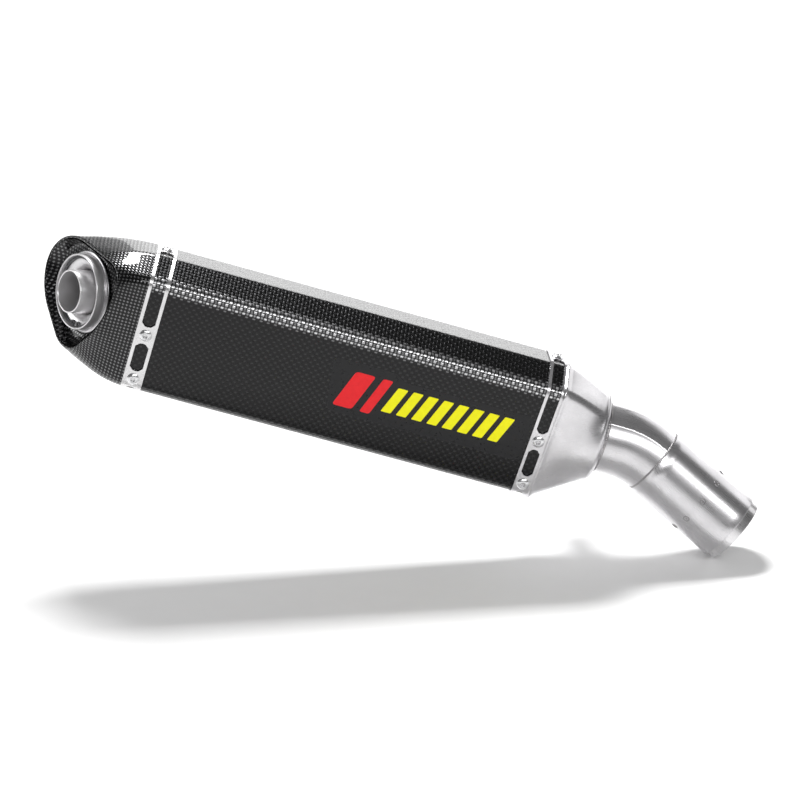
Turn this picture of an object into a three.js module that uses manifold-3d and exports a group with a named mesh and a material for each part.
// Slip-on exhaust muffler with a hexagonal carbon-fibre can.
// Units are millimetres. The assembly stands as it hangs on the motorcycle: +X forward, +Z up, -Y outboard.
// The origin is the centre of the slip joint's open end, where the muffler pushes onto the exhaust system.
import * as THREE from 'three';
import { mergeVertices } from 'three/addons/utils/BufferGeometryUtils.js';
import Module from 'manifold-3d';

const wasm = await Module();
wasm.setup();

// ---------- driving dimensions ----------
const RAKE = THREE.MathUtils.degToRad(16.3);
const ROLL = THREE.MathUtils.degToRad(-5.1);
const GAP = 0.3;

// The can's hexagonal section: corner half-widths, heights and corner radii, seen along the can.
const SECTION = {
  top: { y: 21.8, z: 61.5, r: 9 },
  ridge: { y: 51, z: 43.9, r: 9 },
  bottom: { y: 21, z: -63.6, r: 14 },
};
const ARC_STEPS = 3;
const FLAT_STEPS = { top: 2, roof: 3, flank: 5, bottom: 2 };

// Stations along the can. Its inlet cap ends just ahead of zero, at the neck, where the pipe is welded on.
const CAP_FRONT_EDGE = -62;
const SKIRT_LENGTH = 14.8;
const STRAP_FRONT = -404;
const STRAP_WIDTH = 18;
const STRAP_REAR = STRAP_FRONT - STRAP_WIDTH;
const CAP_SEAM = STRAP_REAR + 2.6;
const SLEEVE_WALL = 2;
const BAND_WALL = 1.2;
const BAND_OFFSET = GAP;
const BAND_TOP = BAND_OFFSET + BAND_WALL;
const RAIL = 3.1;
const SLEEVE_FRONT = CAP_FRONT_EDGE + SKIRT_LENGTH - 1.5;
const SUPPORT_OUTER = -SLEEVE_WALL - GAP;
const SUPPORT_INNER = SUPPORT_OUTER - 1.5;

// Places along one side's outline, from the top centre down to the bottom centre.
const TAB_HALF = 8.5;
const MID_RIVET_Z = -7;
const LOW_RIVET_Z = -51;

const NECK = new THREE.Vector3(3.7, 0, 3.4);
const SHOULDER_RADIUS = 42;
const SHOULDER_DEPTH = 6.5;
const PIPE = { r: 31.5, wall: 1.4 };
const PIPE_DIRECTION = new THREE.Vector3(0.901, -0.103, -0.421).normalize();
const ELBOW_LEAD = 14;
const ELBOW_BEND = 40;
const LINK = { length: 90, r: 32.4, wall: 1.4, beadRise: 1.1 };
const SLIP = { r: 30.7, wall: 1.2, inside: 44, proud: 8 };
const PLUG = { count: 9, r: 2.4, fromEnd: 37.5, turn: THREE.MathUtils.degToRad(-15) };

const OUTLET = { centre: new THREE.Vector3(-481, -2, 5.7), r: 33.4, wall: 1.5, length: 20 };
const OUTLET_DIRECTION = new THREE.Vector3(-0.814, -0.5745, -0.064).normalize();

// The end cap's mouth: a flat rim turned outboard, with rounded corners placed as seen along the can.
const MOUTH = {
  turn: THREE.MathUtils.degToRad(35),
  x: -479.4,
  z: 2,
  lip: 2,
  corners: [
    { y: -46, z: 46, r: 16.5 }, { y: -43, z: -7.5, r: 76 }, { y: -3, z: -56, r: 21.5 },
    { y: 47, z: -9.5, r: 51 }, { y: 50.5, z: 53.5, r: 37 },
  ],
};
const BOWL_DEPTH = 12;
const CORE = { r: 21, wall: 1.2, rear: new THREE.Vector3(-447, 11, 8.8), rows: 7, holesPerRow: 4, holeR: 3 };

const PALETTE = {
  carbon: { color: 0x17181b, roughness: 0.25, metalness: 0.0 },
  titanium: { color: 0xb9babd, roughness: 0.32, metalness: 1.0 },
  steel: { color: 0xc9cacc, roughness: 0.28, metalness: 1.0 },
  weld: { color: 0x8e8a86, roughness: 0.4, metalness: 1.0 },
  rivet: { color: 0xd2d2d4, roughness: 0.3, metalness: 1.0 },
  spring: { color: 0x4c4d50, roughness: 0.4, metalness: 0.9 },
  wool: { color: 0xd9cfa9, roughness: 0.95, metalness: 0.0 },
  mesh: { color: 0x8c8c8a, roughness: 0.6, metalness: 0.8 },
  rubber: { color: 0x1b1b1b, roughness: 0.8, metalness: 0.0 },
};

// ---------- general helpers ----------
const X_AXIS = new THREE.Vector3(1, 0, 0);
const Y_AXIS = new THREE.Vector3(0, 1, 0);
const at = (x, point) => new THREE.Vector3(x, point.x, point.y);
const mix = (a, b, t) => a + (b - a) * t;

function addMesh(group, name, geometry, finish) {
  const mesh = new THREE.Mesh(geometry, new THREE.MeshStandardMaterial(PALETTE[finish]));
  mesh.name = name;
  group.add(mesh);
  return mesh;
}

// Joins rings of equal point counts into one skin. A closed loop of rings is a tube wall;
// otherwise both ends are capped.
function loft(rings, closed = true) {
  const count = rings[0].length;
  const points = rings.flat();
  const index = [];
  const last = closed ? rings.length : rings.length - 1;
  for (let i = 0; i < last; i += 1) {
    const next = (i + 1) % rings.length;
    for (let j = 0; j < count; j += 1) {
      const k = (j + 1) % count;
      index.push(i * count + j, next * count + j, next * count + k);
      index.push(i * count + j, next * count + k, i * count + k);
    }
  }
  if (!closed) {
    for (let j = 1; j < count - 1; j += 1) {
      index.push(0, j, j + 1);
      const base = (rings.length - 1) * count;
      index.push(base, base + j + 1, base + j);
    }
  }
  const geometry = new THREE.BufferGeometry().setFromPoints(points);
  geometry.setIndex(index);
  return outward(geometry);
}

// Turns every face round when the skin's signed volume is negative.
function outward(geometry) {
  const position = geometry.getAttribute('position');
  const index = geometry.getIndex().array;
  const [a, b, c] = [new THREE.Vector3(), new THREE.Vector3(), new THREE.Vector3()];
  let volume = 0;
  for (let i = 0; i < index.length; i += 3) {
    a.fromBufferAttribute(position, index[i]);
    b.fromBufferAttribute(position, index[i + 1]);
    c.fromBufferAttribute(position, index[i + 2]);
    volume += a.dot(b.cross(c));
  }
  if (volume < 0) {
    for (let i = 0; i < index.length; i += 3) {
      [index[i + 1], index[i + 2]] = [index[i + 2], index[i + 1]];
    }
  }
  return geometry;
}

function toSolid(geometry) {
  const bare = geometry.clone();
  bare.deleteAttribute('normal');
  bare.deleteAttribute('uv');
  const merged = mergeVertices(bare, 1e-4);
  return new wasm.Manifold(new wasm.Mesh({
    numProp: 3,
    vertProperties: new Float32Array(merged.getAttribute('position').array),
    triVerts: new Uint32Array(merged.getIndex().array),
  }));
}

function toGeometry(solid) {
  const mesh = solid.getMesh();
  const geometry = new THREE.BufferGeometry();
  geometry.setAttribute('position', new THREE.BufferAttribute(new Float32Array(mesh.vertProperties), 3));
  geometry.setIndex(new THREE.BufferAttribute(new Uint32Array(mesh.triVerts), 1));
  return geometry;
}

function cut(geometry, cutters) {
  const tool = cutters.map(toSolid).reduce((sum, solid) => sum.add(solid));
  return toGeometry(toSolid(geometry).subtract(tool));
}

function join(geometries) {
  return toGeometry(geometries.map(toSolid).reduce((sum, solid) => sum.add(solid)));
}

// A cylinder that stands on a point along a direction, from -back to +front.
function post(point, direction, radius, back, front, sides = 12) {
  const geometry = new THREE.CylinderGeometry(radius, radius, back + front, sides);
  geometry.translate(0, (front - back) / 2, 0);
  geometry.applyQuaternion(new THREE.Quaternion().setFromUnitVectors(Y_AXIS, direction));
  return geometry.translate(point.x, point.y, point.z);
}

// Revolves a closed profile of [radius, distance] pairs about the local Y axis.
function revolve(profile, sides = 28) {
  const points = [...profile, profile[0]].map(([r, y]) => new THREE.Vector2(r, y));
  return outward(mergeVertices(stripped(new THREE.LatheGeometry(points, sides)), 1e-4));
}

function stripped(geometry) {
  geometry.deleteAttribute('normal');
  geometry.deleteAttribute('uv');
  return geometry;
}

// A group whose local Y axis points along a direction from a point.
function axisGroup(parent, point, direction) {
  const group = new THREE.Group();
  group.position.copy(point);
  group.quaternion.setFromUnitVectors(Y_AXIS, direction);
  parent.add(group);
  return group;
}

// ---------- outlines with rounded corners ----------
// Corners run counter-clockwise, seen from the inlet; each arc has the outward angles of the sides beside it.
function cornerArcs(corners) {
  const points = corners.map(({ y, z }) => new THREE.Vector2(y, z));
  const normalAngle = (a, b) => Math.atan2(b.y - a.y, b.x - a.x) - Math.PI / 2;
  return corners.map(({ r }, i) => {
    const before = points[(i + points.length - 1) % points.length];
    const after = points[(i + 1) % points.length];
    const a0 = normalAngle(before, points[i]);
    let a1 = normalAngle(points[i], after);
    while (a1 < a0) a1 += 2 * Math.PI;
    const half = (a1 - a0) / 2;
    const reach = r / Math.cos(half);
    const centre = points[i].clone().sub(new THREE.Vector2(Math.cos(a0 + half), Math.sin(a0 + half))
      .multiplyScalar(reach));
    return { centre, r, a0, a1 };
  });
}

// The can's corners from the top outboard one, each with the steps of the facet after it.
function hexCorners() {
  const { top, ridge, bottom } = SECTION;
  const outboard = [top, ridge, bottom].map(({ y, z, r }) => ({ y: -y, z, r }));
  const flats = [FLAT_STEPS.roof, FLAT_STEPS.flank, FLAT_STEPS.bottom, FLAT_STEPS.flank, FLAT_STEPS.roof,
    FLAT_STEPS.top];
  return cornerArcs([...outboard, bottom, ridge, top]).map((arc, i) => ({ ...arc, flat: flats[i] }));
}
const CORNERS = hexCorners();

const onArc = (corner, angle, offset) => new THREE.Vector2(
  corner.centre.x + (corner.r + offset) * Math.cos(angle),
  corner.centre.y + (corner.r + offset) * Math.sin(angle),
);

// The whole outline grown by an offset, always with the same number of points.
function hexOutline(offset) {
  const points = [];
  CORNERS.forEach((corner, i) => {
    for (let k = 0; k <= ARC_STEPS; k += 1) {
      points.push(onArc(corner, mix(corner.a0, corner.a1, k / ARC_STEPS), offset));
    }
    const next = CORNERS[(i + 1) % 6];
    const from = onArc(corner, corner.a1, offset);
    const to = onArc(next, next.a0, offset);
    for (let k = 1; k < corner.flat; k += 1) {
      points.push(from.clone().lerp(to, k / corner.flat));
    }
  });
  return points;
}
const hexRing = (x, offset) => hexOutline(offset).map((point) => at(x, point));

// The outboard half of the outline as a path of points and outward normals, top centre to bottom centre.
function sidePath() {
  const path = [];
  let length = 0;
  const push = (point, angle) => {
    if (path.length) length += point.distanceTo(path[path.length - 1].point);
    path.push({ point, angle, length });
  };
  push(new THREE.Vector2(0, SECTION.top.z), Math.PI / 2);
  for (const corner of CORNERS.slice(0, 3)) {
    for (let k = 0; k <= ARC_STEPS; k += 1) {
      const angle = mix(corner.a0, corner.a1, k / ARC_STEPS);
      push(onArc(corner, angle, 0), angle);
    }
  }
  push(new THREE.Vector2(0, SECTION.bottom.z), -Math.PI / 2);
  return path;
}
const SIDE = sidePath();
const SIDE_LENGTH = SIDE[SIDE.length - 1].length;

function sidePlace(length) {
  const i = Math.max(1, SIDE.findIndex((place) => place.length >= length - 1e-9));
  const [a, b] = [SIDE[i - 1], SIDE[i]];
  const t = (length - a.length) / (b.length - a.length);
  const wrap = THREE.MathUtils.euclideanModulo(b.angle - a.angle + Math.PI, 2 * Math.PI) - Math.PI;
  return { point: a.point.clone().lerp(b.point, t), angle: a.angle + wrap * t };
}

// The path length at which the flank passes a height.
function flankLength(z) {
  const i = SIDE.findIndex((place, k) => k > 2 * ARC_STEPS && place.point.y <= z);
  const [a, b] = [SIDE[i - 1], SIDE[i]];
  return mix(a.length, b.length, (z - a.point.y) / (b.point.y - a.point.y));
}
const MID_RIVET = flankLength(MID_RIVET_Z);
const LOW_RIVET = flankLength(LOW_RIVET_Z);

// ---------- bands: windows and rivets ----------
// A cutter that follows the outline between two path lengths, pointed at the ends that are not open.
function windowCutter(x, halfWidth, from, to, mirror) {
  const taper = 3.4;
  const steps = Math.ceil((to - from) / 3);
  const stations = [from, from + taper];
  for (let k = 1; k < steps; k += 1) stations.push(mix(from + taper, to - taper, k / steps));
  stations.push(to - taper, to);
  const rings = stations.map((length, i) => {
    const inside = length <= SIDE_LENGTH ? length : 2 * SIDE_LENGTH - length;
    const flip = (length > SIDE_LENGTH) !== mirror ? -1 : 1;
    const { point, angle } = sidePlace(inside);
    const half = i === 0 || i === stations.length - 1 ? halfWidth * 0.42 : halfWidth;
    const place = (depth, dx) => new THREE.Vector3(
      x + dx,
      flip * (point.x + depth * Math.cos(angle)),
      point.y + depth * Math.sin(angle),
    );
    return [place(-0.1, -half), place(-0.1, half), place(6, half), place(6, -half)];
  });
  return loft(rings, false);
}

function windowCutters(x, halfWidth) {
  const cutters = [false, true].flatMap((mirror) => [
    windowCutter(x, halfWidth, TAB_HALF, MID_RIVET - TAB_HALF, mirror),
    windowCutter(x, halfWidth, MID_RIVET + TAB_HALF, LOW_RIVET - TAB_HALF, mirror),
  ]);
  const bottomEnd = 2 * SIDE_LENGTH - LOW_RIVET - TAB_HALF;
  cutters.push(windowCutter(x, halfWidth, LOW_RIVET + TAB_HALF, bottomEnd, false));
  return cutters;
}

// Rivet places of one band: where each pierces the outline, and its outward direction.
function rivetPlaces(x) {
  const places = [
    ['top', 0, false], ['outer_mid', MID_RIVET, false], ['outer_low', LOW_RIVET, false],
    ['inner_mid', MID_RIVET, true], ['inner_low', LOW_RIVET, true],
  ];
  return places.map(([name, length, mirror]) => {
    const { point, angle } = sidePlace(Math.max(length, 1e-6));
    const flip = mirror ? -1 : 1;
    const direction = new THREE.Vector3(0, flip * Math.cos(angle), Math.sin(angle));
    return { name, direction, point: new THREE.Vector3(x, flip * point.x, point.y) };
  });
}

const RIVET_SHANK = 2.3;
const rivetHoles = (x) => rivetPlaces(x).map(({ point, direction }) => (
  post(point, direction, RIVET_SHANK + GAP, 12, 6)));

// A blind rivet: domed flange with an open mandrel bore, shank, and a bulbed blind head.
function rivetGeometry() {
  const seat = BAND_TOP + GAP;
  const tail = SUPPORT_INNER - GAP;
  return revolve([
    [0, seat - 1], [1.7, seat - 1], [1.7, seat + 1.8], [4, seat + 1.5], [5.6, seat],
    [RIVET_SHANK, seat], [RIVET_SHANK, tail], [3.2, tail - 1.3], [0, tail - 2.6],
  ], 10);
}

function addRivets(group, prefix, x) {
  const geometry = rivetGeometry();
  for (const { name, point, direction } of rivetPlaces(x)) {
    addMesh(axisGroup(group, point, direction), `${prefix}_rivet_${name}`, geometry, 'rivet');
  }
}

// ---------- can ----------
const STRAP_MIDDLE = (STRAP_FRONT + STRAP_REAR) / 2;
const SKIRT_MIDDLE = CAP_FRONT_EDGE + SKIRT_LENGTH / 2 + 0.4;
const hexTube = (rear, front, outer, inner) => loft([
  hexRing(rear, outer), hexRing(front, outer), hexRing(front, inner), hexRing(rear, inner),
]);

function addCan(group) {
  const holes = [...rivetHoles(STRAP_MIDDLE), ...rivetHoles(SKIRT_MIDDLE)];
  addMesh(group, 'sleeve', cut(hexTube(CAP_SEAM + GAP, SLEEVE_FRONT, 0, -SLEEVE_WALL), holes), 'carbon');

  const strap = hexTube(STRAP_REAR, STRAP_FRONT, BAND_TOP, BAND_OFFSET);
  const strapCuts = [...windowCutters(STRAP_MIDDLE, STRAP_WIDTH / 2 - RAIL), ...rivetHoles(STRAP_MIDDLE)];
  addMesh(group, 'outlet_strap', cut(strap, strapCuts), 'titanium');
  addRivets(group, 'outlet', STRAP_MIDDLE);
  addRivets(group, 'inlet', SKIRT_MIDDLE);

  const rearRing = hexTube(STRAP_REAR, STRAP_FRONT, SUPPORT_OUTER, SUPPORT_INNER);
  addMesh(group, 'rear_support_ring', cut(rearRing, rivetHoles(STRAP_MIDDLE)), 'steel');
  const frontRing = hexTube(CAP_FRONT_EDGE, SLEEVE_FRONT, SUPPORT_OUTER, SUPPORT_INNER);
  addMesh(group, 'front_support_ring', cut(frontRing, rivetHoles(SKIRT_MIDDLE)), 'steel');
}

// ---------- inlet cap ----------
const circlePoint = (direction, radius) => new THREE.Vector2(
  NECK.y + radius * Math.cos(direction),
  NECK.z + radius * Math.sin(direction),
);

// The outline grown by an offset and blended by t towards a circle about the neck, straighter below
// than above.
function morphRing(x, offset, radius, t) {
  return hexOutline(offset).map((point) => {
    const direction = Math.atan2(point.y - NECK.z, point.x - NECK.y);
    const ease = t ** (1.1 + 0.16 * Math.sin(direction));
    return at(x, point.lerp(circlePoint(direction, radius), ease));
  });
}

// Outer or inner face of the cap, as rings from the skirt's edge to the neck hole.
function capFace(inset) {
  const coneStart = CAP_FRONT_EDGE + SKIRT_LENGTH + 3;
  const coneEnd = NECK.x - SHOULDER_DEPTH;
  const foldX = CAP_FRONT_EDGE + SKIRT_LENGTH + 1;
  const rings = [
    hexRing(CAP_FRONT_EDGE, BAND_TOP - inset),
    hexRing(foldX - 1, BAND_TOP - inset),
    hexRing(foldX, BAND_TOP + 1.1 - inset),
    hexRing(coneStart - 0.8, BAND_TOP + 0.9 - inset),
  ];
  const coneSteps = 4;
  for (let k = 0; k <= coneSteps; k += 1) {
    const t = k / coneSteps;
    rings.push(morphRing(mix(coneStart, coneEnd, t), BAND_TOP - 0.4 - inset, SHOULDER_RADIUS - inset, t));
  }
  const lipRadius = PIPE.r + 0.4;
  const shoulderSteps = 3;
  for (let k = 1; k <= shoulderSteps; k += 1) {
    const turn = (Math.PI / 2) * (k / shoulderSteps);
    const radius = lipRadius + (SHOULDER_RADIUS - inset - lipRadius) * Math.cos(turn);
    rings.push(morphRing(coneEnd + (SHOULDER_DEPTH - inset) * Math.sin(turn), 0, radius, 1));
  }
  rings.push(morphRing(NECK.x - inset, 0, PIPE.r - PIPE.wall + 0.4, 1));
  return rings;
}

function addInletCap(group) {
  const shell = loft([...capFace(0), ...capFace(BAND_WALL).reverse()]);
  const cuts = [...windowCutters(SKIRT_MIDDLE, SKIRT_LENGTH / 2 - RAIL + 0.9), ...rivetHoles(SKIRT_MIDDLE)];
  addMesh(group, 'inlet_cap', cut(shell, cuts), 'titanium');
}

// ---------- pipework ----------
// A straight lead, then a circular arc from one direction to another.
class Bend extends THREE.Curve {
  constructor(start, from, to, length, lead = 0) {
    super();
    this.length = lead + length;
    this.lead = lead;
    this.radius = length / from.angleTo(to);
    this.start = start.clone();
    this.from = from.clone();
    this.side = to.clone().addScaledVector(from, -from.dot(to)).normalize();
  }

  turnAt(t) {
    return Math.max(0, t * this.length - this.lead) / this.radius;
  }

  getPoint(t, target = new THREE.Vector3()) {
    const turn = this.turnAt(t);
    return target.copy(this.start)
      .addScaledVector(this.from, Math.min(this.lead, t * this.length) + this.radius * Math.sin(turn))
      .addScaledVector(this.side, this.radius * (1 - Math.cos(turn)));
  }

  getTangent(t, target = new THREE.Vector3()) {
    const turn = this.turnAt(t);
    return target.set(0, 0, 0)
      .addScaledVector(this.from, Math.cos(turn))
      .addScaledVector(this.side, Math.sin(turn));
  }
}

function annulus(outer, inner, sides = 24) {
  const shape = new THREE.Shape().absarc(0, 0, outer, 0, 2 * Math.PI);
  shape.holes.push(new THREE.Path().absarc(0, 0, inner, 0, 2 * Math.PI, true));
  const { shape: rim, holes } = shape.extractPoints(sides / 2);
  const flat = new THREE.Shape(rim);
  flat.holes.push(new THREE.Path(holes[0]));
  return flat;
}

const ELBOW_START = NECK.clone().addScaledVector(X_AXIS, GAP);
const ELBOW = new Bend(ELBOW_START, X_AXIS, PIPE_DIRECTION, ELBOW_BEND, ELBOW_LEAD);
const LINK_START = ELBOW.getPoint(1);
const SLIP_END = LINK_START.clone().addScaledVector(PIPE_DIRECTION, LINK.length + SLIP.proud);

// A round-bottomed weld bead about the local Y axis.
function bead(radius, y, size) {
  const profile = [];
  const steps = 6;
  for (let k = 0; k < steps; k += 1) {
    const turn = (2 * Math.PI * k) / steps;
    profile.push([radius + size * Math.cos(turn), y + 1.3 * size * Math.sin(turn)]);
  }
  return revolve(profile);
}

function addPipework(group) {
  const section = annulus(PIPE.r, PIPE.r - PIPE.wall);
  const elbow = new THREE.ExtrudeGeometry(section, { steps: 8, extrudePath: ELBOW });
  addMesh(group, 'elbow', outward(mergeVertices(stripped(elbow), 1e-4)), 'titanium');
  const neckWeld = axisGroup(group, NECK, X_AXIS);
  addMesh(neckWeld, 'neck_weld', bead(PIPE.r + 1.4, 1.5, 0.9), 'weld');

  const link = axisGroup(group, LINK_START, PIPE_DIRECTION);
  const { r, wall, length, beadRise } = LINK;
  const tube = revolve([
    [r, 7], [r + beadRise, 5.2], [r + beadRise, 3.4], [r, GAP + 1.2], [r, GAP], [r - wall, GAP],
    [r - wall, length], [r - 0.3, length], [r, length - 0.4],
  ]);
  const plugY = length - PLUG.fromEnd;
  const plugs = Array.from({ length: PLUG.count }, (_, k) => {
    const turn = PLUG.turn + (2 * Math.PI * k) / PLUG.count;
    const out = new THREE.Vector3(Math.cos(turn), 0, Math.sin(turn));
    return { point: new THREE.Vector3(0, plugY, 0), out };
  });
  const drilled = cut(tube, plugs.map(({ point, out }) => post(point, out, PLUG.r + GAP, 0, r + 5, 8)));
  addMesh(link, 'link_pipe', drilled, 'titanium');
  addMesh(link, 'joint_weld', bead(PIPE.r + 1.2, -1.3, 0.8), 'weld');
  plugs.forEach(({ point, out }, k) => {
    const plug = revolve([
      [0, SLIP.r + GAP], [PLUG.r, SLIP.r + GAP], [PLUG.r, r + 0.1], [PLUG.r * 0.6, r + 0.5], [0, r + 0.6],
    ], 8);
    addMesh(axisGroup(link, point, out), `plug_weld_${k + 1}`, plug, 'weld');
  });
  const slip = revolve([
    [SLIP.r, length - SLIP.inside], [SLIP.r, length + SLIP.proud - 0.5], [SLIP.r - 0.4, length + SLIP.proud],
    [SLIP.r - SLIP.wall, length + SLIP.proud], [SLIP.r - SLIP.wall, length - SLIP.inside],
  ]);
  addMesh(link, 'slip_sleeve', slip, 'steel');
}

// ---------- end cap and outlet ----------
const MOUTH_MIDDLE = new THREE.Vector2(0, MOUTH.z);
const MOUTH_ARC_STEPS = 8;
const MOUTH_PATH = cornerArcs(MOUTH.corners).flatMap((arc) => (
  Array.from({ length: MOUTH_ARC_STEPS + 1 }, (_, k) => (
    onArc(arc, mix(arc.a0, arc.a1, k / MOUTH_ARC_STEPS), 0).sub(MOUTH_MIDDLE)))));

// How far the mouth's outline lies from its middle in a direction.
function mouthReach(direction) {
  const ray = new THREE.Vector2(Math.cos(direction), Math.sin(direction));
  const reaches = MOUTH_PATH.map((point, i) => {
    const edge = MOUTH_PATH[(i + 1) % MOUTH_PATH.length].clone().sub(point);
    const turn = ray.cross(edge);
    const along = point.cross(ray) / turn;
    return along >= -1e-6 && along <= 1 + 1e-6 ? point.cross(edge) / turn : 0;
  });
  return Math.max(...reaches);
}

function mouthPoint(direction, inset) {
  const reach = mouthReach(direction) - inset;
  const y = reach * Math.cos(direction);
  return new THREE.Vector3(MOUTH.x - y * Math.tan(MOUTH.turn), y, MOUTH.z + reach * Math.sin(direction));
}

const bezier = (a, b, c, t) => new THREE.Vector3(
  (1 - t) ** 2 * a.x + 2 * t * (1 - t) * b.x + t ** 2 * c.x,
  (1 - t) ** 2 * a.y + 2 * t * (1 - t) * b.y + t ** 2 * c.y,
  (1 - t) ** 2 * a.z + 2 * t * (1 - t) * b.z + t ** 2 * c.z,
);

// Side wall of the cap: leaves the can straight, then leans in to the mouth.
function capWall(offset, inset, steps) {
  const outline = hexOutline(offset);
  const rings = [hexRing(CAP_SEAM, offset)];
  for (let k = 0; k <= steps; k += 1) {
    rings.push(outline.map((point) => {
      const start = at(STRAP_REAR, point);
      const end = mouthPoint(Math.atan2(point.y - MOUTH.z, point.x), inset);
      end.x += inset * 1.6;
      const [midY, midZ] = [mix(start.y, end.y, 0.05), mix(start.z, end.z, 0.05)];
      const middle = new THREE.Vector3(mix(start.x, end.x, 0.5), midY, midZ);
      return bezier(start, middle, end, k / steps);
    }));
  }
  return rings;
}

// Dished face of the mouth, from its lip in to the hole for the outlet tube.
function capBowl(depth, lipInset, holeRadius, steps) {
  const side = new THREE.Vector3().crossVectors(OUTLET_DIRECTION, new THREE.Vector3(0, 0, 1)).normalize();
  const rise = new THREE.Vector3().crossVectors(side, OUTLET_DIRECTION).normalize();
  const rings = [];
  for (let k = 0; k <= steps; k += 1) {
    rings.push(hexOutline(0).map((point) => {
      const direction = Math.atan2(point.y - MOUTH.z, point.x);
      const lip = mouthPoint(direction, lipInset);
      const hole = OUTLET.centre.clone()
        .addScaledVector(OUTLET_DIRECTION, -depth)
        .addScaledVector(side, Math.cos(direction) * holeRadius)
        .addScaledVector(rise, Math.sin(direction) * holeRadius);
      const knee = lip.clone().lerp(hole, 0.3).addScaledVector(OUTLET_DIRECTION, -depth * 0.75);
      return bezier(lip, knee, hole, k / steps);
    }));
  }
  return rings;
}

function addEndCap(group) {
  const hole = OUTLET.r + 1.8;
  const outer = capWall(0, 0, 6);
  const bowl = capBowl(BOWL_DEPTH, MOUTH.lip, hole, 4);
  const back = capBowl(BOWL_DEPTH + 2, MOUTH.lip + 1.2, hole, 3).reverse();
  const inner = capWall(-SLEEVE_WALL, MOUTH.lip + 3, 5).reverse();
  back.pop();
  inner.shift();
  addMesh(group, 'end_cap', loft([...outer, ...bowl, ...back, ...inner]), 'carbon');
}

function addOutlet(group) {
  const outlet = axisGroup(group, OUTLET.centre, OUTLET_DIRECTION);
  const { r, wall, length } = OUTLET;
  addMesh(outlet, 'outlet_tube', revolve([
    [r - wall, -length], [r, -length], [r, -0.6], [r - 0.5, 0], [r - wall + 0.4, 0], [r - wall, -0.5],
  ], 40), 'titanium');
  addMesh(outlet, 'outlet_collar', revolve([
    [r + GAP, -BOWL_DEPTH + 0.9], [r + 3, -BOWL_DEPTH + 1.5], [r + 3, -BOWL_DEPTH + 2.2],
    [r + 2, -BOWL_DEPTH + 2.8], [r + GAP, -BOWL_DEPTH + 2.8],
  ], 40), 'titanium');

  const seat = r - wall - 0.4;
  const face = [];
  const faceSteps = 4;
  const dish = { top: -5, bottom: -17, tube: 19.2 };
  for (let k = 0; k <= faceSteps; k += 1) {
    const turn = (Math.PI / 2) * (k / faceSteps);
    face.push([mix(seat - 1, dish.tube, Math.sin(turn)), mix(dish.bottom, dish.top, Math.cos(turn))]);
  }
  const backFace = face.map(([radius, y]) => [radius, y - 1.4]).reverse();
  addMesh(outlet, 'noise_insert', revolve([
    [dish.tube - 1.6, -26], [dish.tube, -26], ...backFace.slice(0, -1), [seat - 1.2, -16.5], [seat, -16.5],
    [seat, -5.4],
    ...face, [dish.tube, 7], [dish.tube - 0.5, 7.7], [dish.tube - 1.1, 7.7], [dish.tube - 1.6, 7],
  ], 32), 'steel');
  addMesh(outlet, 'retaining_ring', retainingRing(seat - 0.1), 'spring');
}

// An internal circlip: a ring open at the bottom, with a drilled ear on each side of the gap.
function retainingRing(radius) {
  const ring = revolve([[radius - 2, -4.7], [radius, -4.7], [radius, -3.4], [radius - 2, -3.4]], 32);
  const opening = new THREE.BoxGeometry(4, 6, 12).translate(0, -4, -radius);
  const earPoints = [-1, 1].map((side) => new THREE.Vector3(side * 4.4, -4.7, 3 - radius));
  const ears = earPoints.map((point) => post(point, Y_AXIS, 2.3, 0, 1.3));
  const holes = earPoints.map((point) => post(point, Y_AXIS, 1, 2, 4, 10));
  return cut(join([ring, ...ears]), [opening, ...holes]);
}

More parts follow.
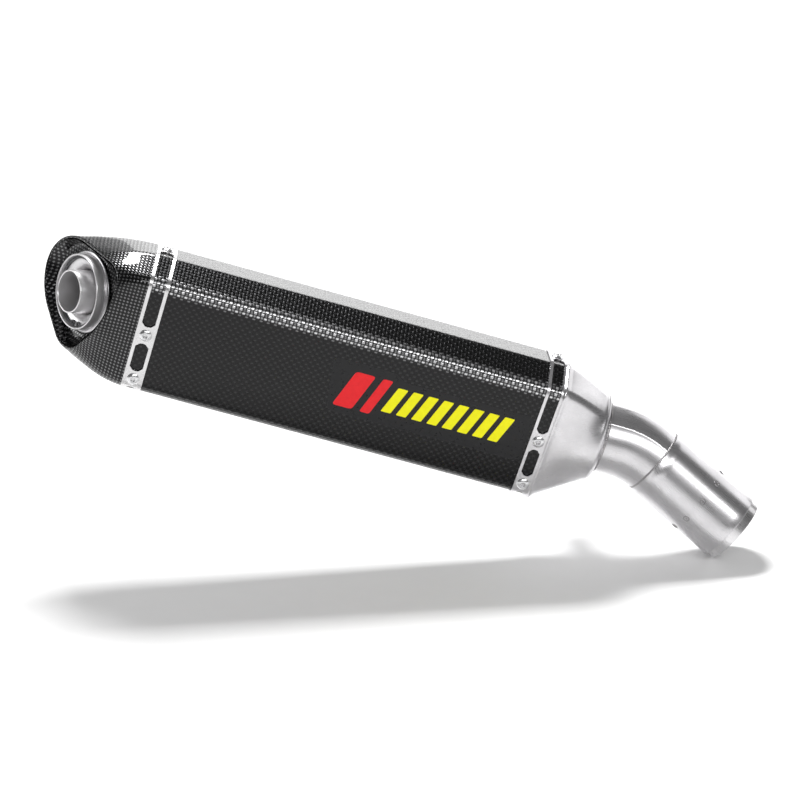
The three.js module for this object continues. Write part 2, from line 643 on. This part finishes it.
// ---------- inside the can ----------
function addCore(group) {
  const direction = CORE.rear.clone().sub(NECK);
  const length = direction.length();
  direction.normalize();
  const core = axisGroup(group, NECK, direction);
  const { r, wall } = CORE;
  const start = 32;
  const tube = revolve([[r, start], [r, length], [r - wall, length], [r - wall, start]], 20);
  const holes = [];
  const pitch = (length - start - 70) / (CORE.rows - 1);
  for (let row = 0; row < CORE.rows; row += 1) {
    for (let k = 0; k < CORE.holesPerRow; k += 1) {
      const turn = (2 * Math.PI * (k + (row % 2) / 2)) / CORE.holesPerRow;
      const out = new THREE.Vector3(Math.cos(turn), 0, Math.sin(turn));
      holes.push(post(new THREE.Vector3(0, start + 40 + row * pitch, 0), out, CORE.holeR, 0, r + 3, 6));
    }
  }
  addMesh(core, 'core_tube', cut(tube, holes), 'steel');
  addMesh(core, 'core_reducer', revolve([
    [PIPE.r - 1.5, 2.2], [PIPE.r - 1.5, 6], [r + 1.7, 36], [r + 1.7, 46],
    [r + GAP + 0.1, 46], [r + GAP + 0.1, 36],
    [PIPE.r - 2.9, 6], [PIPE.r - 2.9, 2.2],
  ], 32), 'steel');
  const wrapEnd = length - 46;
  addMesh(core, 'core_wrap', revolve([
    [r + GAP, 66], [r + 2, 66], [r + 2, wrapEnd], [r + GAP, wrapEnd],
  ], 32), 'mesh');

  const axisAt = (x) => NECK.clone().addScaledVector(direction, (x - NECK.x) / direction.x);
  const circleRing = (x, radius) => hexOutline(0).map((point) => {
    const middle = axisAt(x);
    const angle = Math.atan2(point.y - middle.z, point.x - middle.y);
    return new THREE.Vector3(x, middle.y + radius * Math.cos(angle), middle.z + radius * Math.sin(angle));
  });
  const [rear, front] = [STRAP_FRONT + 0.6, CAP_FRONT_EDGE - 0.6];
  addMesh(group, 'packing_wool', loft([
    hexRing(rear, -SLEEVE_WALL - 0.8), hexRing(front, -SLEEVE_WALL - 0.8),
    circleRing(front, r + 3.9), circleRing(rear, r + 3.9),
  ]), 'wool');
  const plateX = STRAP_FRONT - 2.4;
  addMesh(group, 'rear_baffle', loft([
    hexRing(plateX, SUPPORT_INNER - GAP), hexRing(plateX + 1.5, SUPPORT_INNER - GAP),
    circleRing(plateX + 1.5, r + 1.5), circleRing(plateX, r + 1.5),
  ]), 'steel');
}

// A flared elbow that turns the core's gas into the outlet tube.
function addTailElbow(group) {
  const entry = OUTLET.centre.clone().addScaledVector(OUTLET_DIRECTION, -OUTLET.length + 2);
  const inward = OUTLET_DIRECTION.clone().negate();
  const along = NECK.clone().sub(CORE.rear).normalize();
  const bend = new Bend(entry, inward, along, CORE.rear.distanceTo(entry) * 1.01);
  const ringAt = (t, radius) => {
    const middle = bend.getPoint(t);
    const tangent = bend.getTangent(t);
    const side = new THREE.Vector3().crossVectors(tangent, new THREE.Vector3(0, 0, 1)).normalize();
    const rise = new THREE.Vector3().crossVectors(side, tangent);
    return Array.from({ length: 28 }, (_, k) => {
      const turn = (2 * Math.PI * k) / 28;
      const across = middle.clone().addScaledVector(side, radius * Math.cos(turn));
      return across.addScaledVector(rise, radius * Math.sin(turn));
    });
  };
  const steps = 6;
  const wall = (inset) => Array.from({ length: steps + 1 }, (_, k) => {
    const t = k / steps;
    const narrowing = Math.sin(Math.PI * t / 2);
    return ringAt(t, mix(OUTLET.r - OUTLET.wall - GAP, CORE.r + 1.7, narrowing) - inset);
  });
  addMesh(group, 'tail_elbow', loft([...wall(0), ...wall(1.2).reverse()]), 'steel');
}

// ---------- hanger ----------
// A tab on the inboard flank of the inlet cap, with a rubber-bushed hole for the frame's bolt.
function addHanger(group) {
  const hole = new THREE.Vector3(-28, 72, -3);
  const thickness = 3;
  const tab = new THREE.Shape();
  tab.moveTo(-44, 20);
  tab.lineTo(-8, 20);
  tab.lineTo(-10, 50);
  tab.lineTo(hole.x + 14, hole.y);
  tab.absarc(hole.x, hole.y, 14, 0, Math.PI);
  tab.lineTo(-44, 52);
  tab.closePath();
  const plate = new THREE.ExtrudeGeometry(tab, { depth: thickness, bevelEnabled: false, curveSegments: 10 });
  plate.translate(0, 0, hole.z - thickness / 2);
  const envelope = loft(capFace(-GAP), false);
  const bracket = cut(stripped(plate), [envelope, post(hole, new THREE.Vector3(0, 0, 1), 9, 9, 9, 24)]);
  addMesh(group, 'hanger_bracket', bracket, 'titanium');

  const bush = axisGroup(group, hole, new THREE.Vector3(0, 0, 1));
  addMesh(bush, 'hanger_grommet', revolve([
    [6.3, -5], [11.5, -5], [11.5, -2], [8.6, -1.8], [8.6, 1.8], [11.5, 2], [11.5, 5], [6.3, 5],
  ], 24), 'rubber');
  addMesh(bush, 'hanger_collar', revolve([
    [4.2, -6], [6, -6], [6, 5.3], [9, 5.3], [9, 6.5], [4.2, 6.5],
  ], 24), 'steel');
}

// ---------- assembly ----------
const muffler = new THREE.Group();
const raked = new THREE.Group();
raked.rotation.y = RAKE;
const can = new THREE.Group();
can.rotation.x = ROLL;
raked.add(can);
muffler.add(raked);

addCan(can);
addInletCap(can);
addPipework(can);
addEndCap(can);
addOutlet(can);
addCore(can);
addTailElbow(can);
addHanger(can);

can.position.copy(SLIP_END.clone().applyEuler(can.rotation).negate());

export default muffler;
